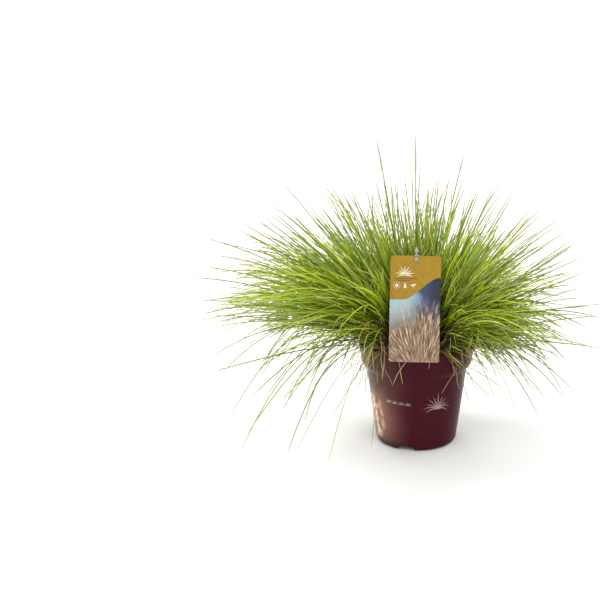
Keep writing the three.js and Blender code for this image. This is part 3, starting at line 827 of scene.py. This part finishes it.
def lost_share(tips):
    """The share of blades to leave out at each tip: more the lower it lies, most of all at the front left."""
    distance = from_axis(tips)
    drop = np.degrees(np.arctan2(SPREAD_CENTRE[2] - tips[:, 2], distance))
    left_loss = np.interp(drop - FRONT_RISE * np.minimum(0, tips[:, 1]), *LEFT_LOSSES)
    sideways_loss = lerp(left_loss, np.interp(drop, *RIGHT_LOSSES), (1 + tips[:, 0] / distance) / 2)
    return lerp(sideways_loss, np.interp(drop, *FRONT_LOSSES), np.clip(-tips[:, 1] / distance, 0, 1) ** 2)


def picked(keep, arrays):
    return [a[keep] for a in arrays]


def joined(*groups):
    return [np.concatenate(parts) for parts in zip(*groups)]


def thinned(rng, blades):
    """Which blades have room, less the share that is lost where their tips lie."""
    keep = ~is_blocked(blade_paths(*blades, TEST_STEPS))
    return keep & (rng.random(len(keep)) > lost_share(blades[1]))


# Kinds of blades, each as roots, tips, lifts and sways
def clump_blades(rng, clumps, tilt_from, tilt_to, root_limits):
    """Wisps of blades whose roots and tips lie close together, spread evenly over the tuft."""
    azimuth = golden_azimuths(rng, clumps, CLUMP_SHIFT)
    wisps = (even_spread(clumps, tilt_from, tilt_to), azimuth, azimuth + rng.normal(0, CLUMP_TURN, clumps))
    wisps = (*wisps, rng.random(clumps))
    tilt, azimuth, tip_azimuth, reach_draw = (np.repeat(a, CLUMP_BLADES) for a in wisps)
    total = len(tilt)
    shortest, longest = reach_range(tilt, azimuth)
    to_left = np.maximum(0, leftward(tilt, azimuth))
    rarity = np.interp(tilt, *LONG_BLADE_RARITY) - LEFT_RARITY_LOSS * to_left
    own = SHARED_REACH * reach_draw + (1 - SHARED_REACH) * rng.random(total) ** rarity
    reach = lerp(shortest * (SHORTEST_SHARE + LEFT_SHORTEST_SHARE * to_left), longest, np.clip(own, 0, 1))
    wild = np.where(rng.random(total) < WILD_SHARE, WILDNESS, 1.0)
    tip_tilt = tilt + rng.normal(0, TILT_SCATTER, total) * wild
    lean = np.maximum(LEAST_LEAN, np.sin(np.radians(tilt)))
    tips = tip_points(tip_tilt, tip_azimuth + rng.normal(0, TURN_SCATTER, total) * wild / lean, reach)
    distance = np.clip(root_radius(tilt) + rng.normal(0, ROOT_SCATTER, total), *root_limits)
    roots = root_points(azimuth + rng.normal(0, ROOT_TURN, total), distance)
    lifts = reach * (CLUMP_LIFT + CLUMP_ARCH * (tilt / 90) ** ARCH_POWER * rng.uniform(*ARCH_SPREAD, total))
    blades = (roots, tips, lifts, rng.normal(0, CLUMP_SWAY, total))
    return picked(thinned(rng, blades), blades)


def fringe_blades(rng):
    """Single blades, a little longer than their neighbours, all around the tuft, and the tilt of each."""
    count = FRINGE_BLADES
    tilt = even_spread(count, 0, FRINGE_SPREAD)
    azimuth = golden_azimuths(rng, count, 0.2)
    reach = reach_range(tilt, azimuth)[1] * rng.uniform(*FRINGE_GAIN, count)
    tips = tip_points(tilt, azimuth + rng.normal(0, 0.12, count), reach)
    roots = root_points(azimuth, root_radius(tilt))
    lifts = reach * (0.015 + 0.09 * (tilt / 90) ** 2 * rng.uniform(0.2, 1.6, count))
    blades = (roots, tips, lifts, rng.normal(0, FRINGE_SWAY, count))
    return picked(thinned(rng, blades), (*blades, tilt))


def trailing_blades(rng):
    """Long single blades that arch out of the skirt and hang down beside the pot."""
    count = TRAIL_BLADES
    azimuth = golden_azimuths(rng, count, 0.1)
    to_right = np.cos(azimuth) > 0
    out = rng.uniform(*TRAIL_OUT, count) + TRAIL_LEFT_GAIN * ~to_right
    height = lerp(*TRAIL_HEIGHTS, rng.random(count) ** 0.8) + TRAIL_RIGHT_RISE * to_right
    tips = on_circle(azimuth, out, height)
    roots = root_points(azimuth + rng.normal(0, 0.15, count), rng.uniform(*TRAIL_ROOTS, count))
    lifts = rng.uniform(*TRAIL_LIFTS, count) - TRAIL_RIGHT_SAG * to_right
    blades = (roots, tips, lifts, rng.normal(0, TRAIL_SWAY, count))
    keep = ~is_blocked(blade_paths(*blades, TEST_STEPS))
    return picked(keep & (np.abs(np.cos(azimuth)) > lerp(*TRAIL_SIDEWAYS, to_right)), blades)


def standout_blades():
    rows = np.array(STANDOUT_BLADES, float)
    tips = rows[:, :3]
    direction = tips - SPREAD_CENTRE
    tilt = np.degrees(np.arccos(direction[:, 2] / np.linalg.norm(direction, axis=1)))
    roots = root_points(np.arctan2(tips[:, 1], tips[:, 0]), root_radius(tilt))
    return [roots, tips, rows[:, 3], np.zeros(len(rows)), tilt]


def hanging_paths(rows, s):
    """Paths that come over the rim and hang down along the pot, turning a little around it."""
    start, end, bend, low, gap = (np.array(rows, float).T)[:, :, None]
    rise = np.clip(s / RIM_SHARE, 0, 1)[None]
    fall = np.clip((s - RIM_SHARE) / (1 - RIM_SHARE), 0, 1)[None]
    azimuth = np.radians(lerp(start, end, fall ** 1.2) + bend * np.sin(np.pi * fall))
    rising = lerp(SKIRT_EDGE - 4, RIM_PASS_HEIGHT, np.sin(rise * np.pi / 2))
    z = np.where(rise < 1, rising, lerp(RIM_PASS_HEIGHT, low, fall ** 1.35))
    heights = [0, STEP_HEIGHT, COLLAR_HEIGHT - 3, POT_HEIGHT]
    surface = np.interp(z, heights, [FOOT_RADIUS, STEP_RADIUS, COLLAR_RADIUS, RIM_RADIUS])
    clear = POT_CLEARANCE + 0.4
    inside = lerp(RIM_START_RADIUS, RIM_RADIUS + clear, rise)
    return on_circle(azimuth, np.where(rise < 1, inside, surface + lerp(clear, gap, fall)), z)


# Blades as meshes
def blade_faces(rings, count):
    """The points that the blades' faces go through, quads first, and where each face starts."""
    per_blade = (rings - 1) * 3 + 1
    edges = [(ring * 3 + i, ring * 3 + (i + 1) % 3) for ring in range(rings - 1) for i in range(3)]
    quads = [(a, b, b + 3, a + 3) for a, b in edges[:-3]]
    triangles = [(a, b, per_blade - 1) for a, b in edges[-3:]] + [(2, 1, 0)]
    offsets = (np.arange(count) * per_blade)[:, None]
    loops = np.concatenate([(np.array(f).reshape(1, -1) + offsets).ravel() for f in (quads, triangles)])
    quad_loops = np.arange(len(quads) * count) * 4
    triangle_loops = len(quads) * count * 4 + np.arange(len(triangles) * count) * 3
    return loops, np.concatenate([quad_loops, triangle_loops])


def blade_corners(paths, s, roll, width, thickness):
    """Three corners around each place on each blade: two at the edges and one at the keel."""
    tangent = np.gradient(paths, axis=1)
    tangent /= np.linalg.norm(tangent, axis=2, keepdims=True)
    side = np.cross(tangent, np.array([0.03, 0.02, 1.0]))
    side /= np.linalg.norm(side, axis=2, keepdims=True)
    keel = np.cross(side, tangent)
    across = side * np.cos(roll) + keel * np.sin(roll)
    down = keel * np.cos(roll) - side * np.sin(roll)
    taper = np.minimum(1, (1 - s) / TAPER_SHARE) ** 0.5 * np.minimum(1, ROOT_WIDTH_SHARE + s * 1.3)
    w = width[:, None, None] * taper[None, :, None]
    t = w * thickness
    return np.stack([
        paths + across * w / 2 + down * t / 3,
        paths - across * w / 2 + down * t / 3,
        paths - down * t * 2 / 3,
    ], 2)


def blade_mesh(paths, rng, width=1.15, thickness=0.9, singles=0, single_width=1.1):
    """Slim three-sided blades along the given paths, folded along the keel and drawn out to a point.

    The last ones, as many as singles says, are blades that stand alone: even in width and olive green.
    """
    count, rings = paths.shape[:2]
    s = steps_along(rings)
    roll = rng.uniform(-1.1, 1.1, count)[:, None, None]
    roll = roll + s[None, :, None] * rng.normal(0, 0.5, count)[:, None, None]
    tips = paths[:, -1]
    scale = rng.uniform(*SLIMNESS, count) * np.interp(tips[:, 1], *FRONT_SLIMNESS)
    # Painted shade: blades whose tips lie low take deeper colours from the tint, more so on the right
    lowness = np.clip((LOW_TIPS_FROM - tips[:, 2]) / LOW_TIPS_SPAN, 0, 1)
    tint = rng.random(count) * (1 - lowness * np.interp(tips[:, 0], *LOW_TIPS_PAINTED_SHADE))
    if singles:
        scale[-singles:] = single_width
        tint[-singles:] = lerp(*SINGLE_TINTS, tint[-singles:])
    corners = blade_corners(paths, s, roll, width * scale, thickness / width)
    body = corners[:, :-1].reshape(count, -1, 3)
    vertices = np.concatenate([body, paths[:, -1:]], 1).reshape(-1, 3) * MM
    loops, starts = blade_faces(rings, count)
    mesh = bpy.data.meshes.new("blades")
    mesh.vertices.add(len(vertices))
    mesh.vertices.foreach_set("co", vertices.astype(np.float32).ravel())
    mesh.loops.add(len(loops))
    mesh.loops.foreach_set("vertex_index", loops.astype(np.int32))
    mesh.polygons.add(len(starts))
    mesh.polygons.foreach_set("loop_start", starts.astype(np.int32))
    along = np.concatenate([np.repeat(s[:-1], 3), [1.0]])
    for label, values in (("along", np.tile(along, count)), ("tint", np.repeat(tint, len(along)))):
        data = mesh.attributes.new(label, "FLOAT", "POINT")
        data.data.foreach_set("value", values.astype(np.float32))
    mesh.update(calc_edges=True)
    mesh.validate()
    mesh.shade_smooth()
    return mesh


def make_blades(name, paths, rng, material, replaces=(), slot="grass", **shape):
    make_object(name, blade_mesh(paths, rng, **shape), material, replaces)


def make_grass(material):
    rng = np.random.default_rng(2024)
    s = steps_along(BLADE_RINGS)
    *singles, tilt = joined(standout_blades(), fringe_blades(rng))
    upright = tilt < HEART_SPREAD
    standing = picked(upright, singles)
    heart = joined(clump_blades(rng, HEART_CLUMPS, 0, HEART_SPREAD, HEART_ROOTS), standing)
    paths = blade_paths(*heart, s)
    make_blades("heart_blades", paths, rng, material, ["grass_heart"], singles=len(standing[0]))
    skirt = clump_blades(rng, SKIRT_CLUMPS, HEART_SPREAD, SKIRT_SPREAD, SKIRT_ROOTS)
    trailing = joined(trailing_blades(rng), picked(~upright, singles))
    for name, group, single in (("skirt_blades", skirt, False), ("trailing_blades", trailing, True)):
        left = group[1][:, 0] < 0
        for side, part in (("left", left), ("right", ~left)):
            paths = blade_paths(*picked(part, group), s)
            make_blades(f"{name}_{side}", paths, rng, material, ["grass_skirt"], singles=single * len(paths))
    paths = hanging_paths(GREEN_RIM_BLADES, s)
    make_blades("rim_blades", paths, rng, material, singles=len(paths), single_width=0.75)


def make_dead_blades(material):
    """Dry strays that lean out from the thatch, where nothing blocks them, and dry blades over the rim."""
    rng = np.random.default_rng(77)
    s = steps_along(BLADE_RINGS)
    count = DEAD_BLADES
    azimuth = golden_azimuths(rng, count, 0.1)
    tip_azimuth = azimuth + rng.uniform(-0.6, 0.6, count)
    tips = on_circle(tip_azimuth, rng.uniform(*DEAD_OUT, count), rng.uniform(*DEAD_HEIGHTS, count))
    roots = on_circle(azimuth, rng.uniform(*DEAD_ROOTS, count), np.full(count, THATCH_TOP - 4))
    blades = (roots, tips, rng.uniform(*DEAD_LIFTS, count), rng.normal(0, 8, count))
    paths = blade_paths(*blades, TEST_STEPS)
    in_thatch = from_axis(paths)[..., None] < THATCH_OUTER
    keep = ~is_blocked(np.where(in_thatch, FREE_PLACE, paths))
    paths = np.concatenate([blade_paths(*picked(keep, blades), s), hanging_paths(DRY_RIM_BLADES, s)])
    make_blades("dead_blades", paths, rng, material, ["thatch"], "dry_grass", width=0.9, thickness=0.6)


def make_thatch(material):
    """Short old leaf bases, packed around the crown and leaning outwards."""
    rng = np.random.default_rng(31)
    count = LEAF_BASES
    azimuth = rng.uniform(0, 2 * pi, count)
    radius = rng.uniform(*BASE_RADII, count)
    roots = on_circle(azimuth, radius, np.interp(radius, *BASE_HEIGHTS) - 3)
    length = rng.uniform(*BASE_LENGTHS, count)
    tip_azimuth = azimuth + rng.normal(0, 0.7, count)
    tips = roots + direction_points(rng.uniform(*BASE_LEANS, count), tip_azimuth) * length[:, None]
    limit = np.where(tips[:, 2] < POT_HEIGHT + 2, *BASE_LIMITS)
    tips[:, :2] *= np.minimum(1, limit / from_axis(tips))[:, None]
    blades = (roots, tips, length * rng.uniform(0.02, 0.12, count), rng.normal(0, 2, count))
    paths = blade_paths(*blades, TEST_STEPS)
    blocked = from_stake(paths) < 4
    blocked |= (from_axis(paths) > RIM_INNER_RADIUS) & (paths[..., 2] < POT_HEIGHT + 1)
    blocked |= (paths[..., 1] < BASE_VIEW_BACK) & (np.abs(paths[..., 0]) < LABEL_VIEW_HALF)
    paths = blade_paths(*picked(~blocked.any(1), blades), steps_along(BASE_RINGS))
    make_blades("leaf_bases", paths, rng, material, slot="dry_grass", width=1.5, thickness=0.7)


# Label
def label_matrix():
    hanger = Matrix.Translation(Vector(STUD) * MM) @ Matrix.Rotation(radians(90 - LABEL_LEAN), 4, "X")
    return hanger @ Matrix.Rotation(radians(LABEL_TURN), 4, "Z")


def card_outline():
    """The card's edge around its hole, which lies at 0, 0."""
    r = LABEL_CORNER
    left, right = LABEL_LEFT + r, LABEL_LEFT + LABEL_WIDTH - r
    low, high = LABEL_HOLE_DROP - LABEL_HEIGHT + r, LABEL_HOLE_DROP - r
    points = []
    for x, y, start in ((right, low, -90), (right, high, 0), (left, high, 90), (left, low, 180)):
        points += arc_points(x, y, r, start, start + 90, 8)
    return points


def make_card(material):
    outline = card_outline()
    half = LABEL_THICKNESS / 2
    mesh = prism([(x, y, -half) for x, y in outline], [(x, y, half) for x, y in outline])
    mesh.materials.append(material)
    card = add_object("printed_label", mesh)
    boolean(card, [drill(LABEL_HOLE_RADIUS, 32)])
    card.matrix_world = label_matrix()
    place_piece(card, ["label_card"])


# Printed motifs: every stroke is a list of points and the stroke's width at each of them
def line_stroke(x, y, length, width):
    return [((x, y), width), ((x + length, y), width)]


def round_stroke(x, y, radius, steps=12):
    """A disc, drawn as one stroke from left to right."""
    places = [-cos(pi * t) for t in shares(steps)]
    return [((x + radius * p, y), 2 * radius * sqrt(max(0, 1 - p * p))) for p in places]


def leaf_stroke(x, y, lean, length, width, curl=0.0, steps=10):
    """A pointed leaf from its foot at x, y, leaning and curling sideways."""
    points = []
    for t in shares(steps):
        angle = radians(lean + curl * t)
        place = (x + length * t * sin(angle), y + length * t * cos(angle))
        points.append((place, width * sin(pi * min(1, t + 0.12)) ** 0.8))
    return points


def drop_stroke(x, y, size, steps=12):
    """A drop, round at its foot and drawn out toward its top."""
    swells = [(t, sqrt(min(1, 5.2 * t) * (1 - t) ** 1.5)) for t in shares(steps)]
    return [((x, y - size + 2 * size * t), 1.25 * size * swell) for t, swell in swells]


def spray_strokes(x, y, size, leaves, spread, width):
    """A tuft of narrow leaves that fan out and curl down at their ends."""
    strokes = []
    for i in range(leaves):
        side = 2 * i / (leaves - 1) - 1
        length = size * (1 - 0.25 * abs(side) + 0.12 * (i % 2))
        strokes.append(leaf_stroke(x + side * 0.5, y, side * spread, length, width, side * spread * 0.7))
    return strokes


def sun_strokes(x, y, size, rays=8):
    strokes = [round_stroke(x, y, 0.42 * size)]
    for i in range(rays):
        angle = 2 * pi * i / rays
        foot = (x + 0.62 * size * sin(angle), y + 0.62 * size * cos(angle))
        strokes.append(leaf_stroke(*foot, 360 / rays * i, 0.42 * size, 0.16 * size))
    return strokes


def print_mesh(strokes, place):
    """Closed flat strips, one for each stroke, laid on a surface by place(x, y, height above it)."""
    vertices = []
    faces = []
    for stroke in strokes:
        first = len(vertices)
        centres = np.array([point for point, _ in stroke], float)
        along = np.gradient(centres, axis=0)
        along /= np.linalg.norm(along, axis=1, keepdims=True)
        for (x, y), (dx, dy), (_, width) in zip(centres, along, stroke):
            half = max(THINNEST_STROKE, width) / 2
            for height in (-PRINT_DEPTH, PRINT_HEIGHT):
                for side in (-half, half):
                    vertices.append(place(x - dy * side, y + dx * side, height))
        for a in range(first, len(vertices) - 4, 4):
            b = a + 4
            faces += [(a + 2, b + 2, b + 3, a + 3), (a + 1, b + 1, b, a)]
            faces += [(a, b, b + 2, a + 2), (a + 3, b + 3, b + 1, a + 1)]
        faces += [(first, first + 2, first + 3, first + 1), (b + 1, b + 3, b + 2, b)]
    return mesh_from(vertices, faces)


def on_card(x, y, height):
    return x, y, LABEL_THICKNESS / 2 + height


def on_pot(azimuth, base):
    """Places a print's point on the pot's body, around from an azimuth and up from a height."""
    def place(x, y, height):
        z = base + y
        radius = lerp(FOOT_RADIUS, STEP_RADIUS, (z - FOOT_CORNER) / (STEP_HEIGHT - FOOT_CORNER))
        return on_circle(radians(azimuth) + x / radius, radius + height, z)
    return place


def make_card_print(pale, dark):
    """Motifs on the ochre field: a tuft of grass, rules, and signs for sun, water and growth."""
    left = LABEL_LEFT
    motifs = [
        *spray_strokes(left + 15, -16.5, size=11.5, leaves=9, spread=62, width=1.1),
        *sun_strokes(left + 7, -26.5, size=4.2),
        drop_stroke(left + 15.5, -26.3, size=3.1),
        leaf_stroke(left + 24, -29.5, lean=0, length=6, width=0.5),
        leaf_stroke(left + 24, -27, lean=-58, length=3.6, width=1.7),
        leaf_stroke(left + 24, -26.5, lean=58, length=3.6, width=1.7),
    ]
    rules = [line_stroke(left + 4, y, length, width=0.7) for y, length in ((-19.2, 25), (-21.2, 17))]
    for name, strokes, material in (("card_motifs", motifs, pale), ("card_rules", rules, dark)):
        mesh = print_mesh(strokes, on_card)
        mesh.materials.append(material)
        piece = add_object(name, mesh)
        piece.matrix_world = label_matrix()
        place_piece(piece, [])


def make_pot_print(material):
    """A pale tuft of grass on a line, and a row of small sprigs beside it."""
    tuft = spray_strokes(0, 0, size=19, leaves=11, spread=66, width=0.9)
    tuft += [line_stroke(-14 + GROUND_STEP * i, -0.5, GROUND_STEP, width=0.5) for i in range(GROUND_STEPS)]
    sprigs = []
    for i in range(SPRIGS):
        sprigs += spray_strokes(SPRIG_STEP * i, -0.35 * i, size=4.6, leaves=5, spread=60, width=0.55)
    prints = (("pot_motif", tuft, TUFT_PRINT_PLACE), ("pot_sprig", sprigs, SPRIG_PRINT_PLACE))
    for name, strokes, place in prints:
        make_object(name, print_mesh(strokes, on_pot(*place)), material)


# Stake
def make_stud():
    """The button in front of the stake, with a collar behind the card and a dimple in its head."""
    stud = add_object("stud", turned([
        (0, -STAKE_BACK - 1), (STUD_COLLAR_RADIUS, -STAKE_BACK - 1), (STUD_COLLAR_RADIUS, -STUD_GRIP),
        (STUD_RADIUS, -STUD_GRIP), (STUD_RADIUS, STUD_GRIP), (STUD_HEAD_RADIUS - 0.2, STUD_GRIP),
        *arc_points(0, STUD_GRIP - 0.6, STUD_HEAD_RADIUS, 15, 60, 5),
        (STUD_HEAD_RADIUS * 0.34, STUD_GRIP + 1.95), (STUD_HEAD_RADIUS * 0.3, STUD_GRIP + 1.3),
        (0, STUD_GRIP + 1.2),
    ], 32))
    stud.matrix_world = Matrix.Translation(Vector(STUD) * MM) @ Matrix.Rotation(pi / 2, 4, "X")
    return stud


def make_knob():
    knob = add_object("knob", turned([
        (0, STAKE_TOP - 2), (1, STAKE_TOP - 2), (1, STAKE_TOP + 2.6),
        (KNOB_RADIUS, STAKE_TOP + 3), (KNOB_RADIUS, STAKE_TOP + 3.8),
        (KNOB_RADIUS * 0.62, KNOB_TOP - 1.6), (KNOB_RADIUS * 0.3, KNOB_TOP - 0.3), (0, KNOB_TOP),
    ], 24))
    knob.location = Vector((STUD[0], STAKE_MIDDLE, 0)) * MM
    return knob


def make_stake(material):
    w = STAKE_WIDTH / 2
    right = [
        (w * 0.7, STAKE_SHOULDER_HEIGHT), (w * 0.8, STUD[2] - 12),
        (w, STUD[2] - 4), (w, STAKE_TOP - 1), (w - 1, STAKE_TOP),
    ]
    outline = [(0, STAKE_POINT_HEIGHT), *right, *[(-x, z) for x, z in reversed(right)]]
    mesh = upright_prism(outline, STAKE_THICKNESS)
    stake = make_object("plastic_stake", mesh, material, ["label_stake"])
    back = STAKE_MIDDLE + STAKE_THICKNESS / 2
    stake.data.transform(Matrix.Translation(Vector((STUD[0], back, 0)) * MM))
    boolean(stake, [make_stud(), make_knob()], "UNION")


# Stage
def make_floor():
    half = FLOOR_SIZE / 2
    corners = [(-half, -half, 0), (half, -half, 0), (half, half, 0), (-half, half, 0)]
    mesh = mesh_from(corners, [(0, 1, 2, 3)])
    floor = add_object("floor", mesh)
    material, tree = new_material("pale_floor")
    coat(tree, Base_Color=(0.76, 0.76, 0.76, 1), Roughness=0.9)
    mesh.materials.append(material)


def add_light(name, kind, **settings):
    return add_object(name, configure(bpy.data.lights.new(name, kind), **settings))


def aim(light, location, target):
    light.location = location
    light.rotation_euler = (Vector(target) - Vector(location)).to_track_quat("-Z", "Y").to_euler()


def sun_light(name, azimuth, elevation, angle, **settings):
    sun = add_light(name, "SUN", angle=radians(angle), **settings)
    sun.rotation_euler = (radians(90 - elevation), 0, radians(azimuth))


def make_lights():
    world = bpy.data.worlds.new("studio")
    world.use_nodes = True
    feed(world.node_tree.nodes["Background"], {"Color": (1, 1, 1, 1), "Strength": WORLD_STRENGTH})
    scene.world = world
    sun_light("key", azimuth=-125, elevation=55, angle=14, energy=1.7, color=(1.0, 0.96, 0.86))
    for azimuth, elevation, strength in SIDE_SUNS:
        sun_light(f"side_{azimuth}", azimuth, elevation, SIDE_SUN_ANGLE, energy=strength)
    front = add_light("front", "AREA", energy=6, size=1.2)
    aim(front, (-0.4, -1.1, 1.3), (0, 0, 0.05))
    low_side = add_light("low_side", "SPOT", energy=85, color=(1.0, 0.9, 0.78), shadow_soft_size=0.012)
    configure(low_side.data, spot_size=radians(3.8), spot_blend=0.7)
    aim(low_side, (-0.95, -0.3, 0.22), (-0.04, -0.03, 0.04))


def main():
    scene.view_settings.view_transform = "Standard"
    scene.view_settings.look = "None"
    make_floor()
    make_lights()
    make_pot(pot_material())
    peat = soil_material()
    make_soil(peat)
    make_crumbs(peat)
    make_grass(grass_material())
    make_dead_blades(dry_material("dry_grass", (128, 98, 66), (176, 146, 104)))
    make_thatch(dry_material("old_leaf_bases", (96, 72, 44), (140, 122, 74)))
    make_card(label_material())
    make_card_print(
        plain_material("pale_print", srgb(206, 196, 172), roughness=0.4),
        plain_material("dark_print", srgb(74, 56, 34), roughness=0.4),
    )
    make_pot_print(plain_material("pot_print", srgb(150, 126, 126), roughness=0.5))
    make_stake(plain_material("white_plastic", srgb(140, 145, 140), roughness=0.35))


make_camera()
main()
